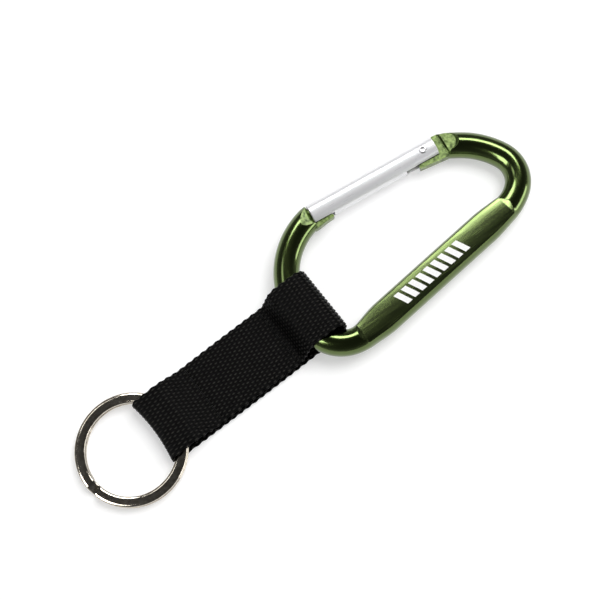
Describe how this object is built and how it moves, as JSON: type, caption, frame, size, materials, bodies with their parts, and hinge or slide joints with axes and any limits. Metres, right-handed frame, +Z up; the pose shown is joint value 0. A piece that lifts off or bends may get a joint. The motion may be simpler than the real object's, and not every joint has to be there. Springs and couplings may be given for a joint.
{
  "type": "carabiner keyring",
  "caption": "Keyring with a green D-shaped snap-gate carabiner, a short black webbing strap sewn into a loop at each end, and a split ring for keys.",
  "frame": {"origin": "under the middle of the whole object's bounding box, on the surface that it lies on", "axes": "+X runs along the strap from the split ring to the carabiner; +Y towards the carabiner's gate; +Z up, through the flat object"},
  "size_m": [0.1539, 0.0446, 0.0113],
  "materials": {
    "green_anodised": "glossy green anodised",
    "satin_silver": "satin",
    "rivet_steel": "plain",
    "spring_steel": "plain",
    "nylon": "natural",
    "nickel": "nickel plated",
    "webbing": "plain woven",
    "thread": "twisted thread"
  },
  "bodies": {
    "carabiner": {"carabiner_frame": "green_anodised"},
    "gate": {"gate": "satin_silver", "gate_rivet": "rivet_steel"},
    "plunger": {"spring_plunger": "nylon", "gate_spring": "spring_steel"},
    "carabiner_loop": {"webbing_carabiner_loop": "webbing"},
    "strap": {"webbing_sewn_middle": "webbing", "carabiner_seam_needle_thread": "thread", "carabiner_seam_bobbin_thread": "thread", "ring_seam_needle_thread": "thread", "ring_seam_bobbin_thread": "thread"},
    "ring_loop": {"webbing_ring_loop": "webbing"},
    "ring": {"split_ring": "nickel"}
  },
  "joints": [
    {"name": "gate_hinge", "type": "hinge", "parent": "carabiner", "child": "gate", "pos_m": [0.05541, 0.01436, 0.00421], "axis": [0.026, 0, 0.9997], "range_deg": [0, 35], "stiffness_Nm_per_rad": 0.03, "springref_deg": -20.05},
    {"name": "plunger_slide", "type": "slide", "parent": "gate", "child": "plunger", "axis": [-0.9905, 0.1349, 0.0258], "range_m": [0, 0.0019]},
    {"name": "strap_swing", "type": "hinge", "parent": "carabiner", "child": "carabiner_loop", "pos_m": [0.00023, -0.00281, 0.00565], "axis": [0, 1, 0], "range_deg": [-25, 28]},
    {"name": "strap_bend_carabiner_end", "type": "hinge", "parent": "carabiner_loop", "child": "strap", "pos_m": [-0.00757, -0.00281, 0.0018], "axis": [0, 1, 0], "range_deg": [-60, 60]},
    {"name": "strap_bend_ring_end", "type": "hinge", "parent": "strap", "child": "ring_loop", "pos_m": [-0.03807, -0.00281, 0.0018], "axis": [0, 1, 0], "range_deg": [-60, 60]},
    {"name": "ring_turn", "type": "hinge", "parent": "ring_loop", "child": "ring", "pos_m": [-0.06097, -0.00281, 0.00233], "axis": [-0.0518, 0, 0.9987], "continuous": true}
  ],
  "couplings": [
    {"joint": "plunger_slide", "follows": "gate_hinge", "m_per_rad": 0.003}
  ]
}
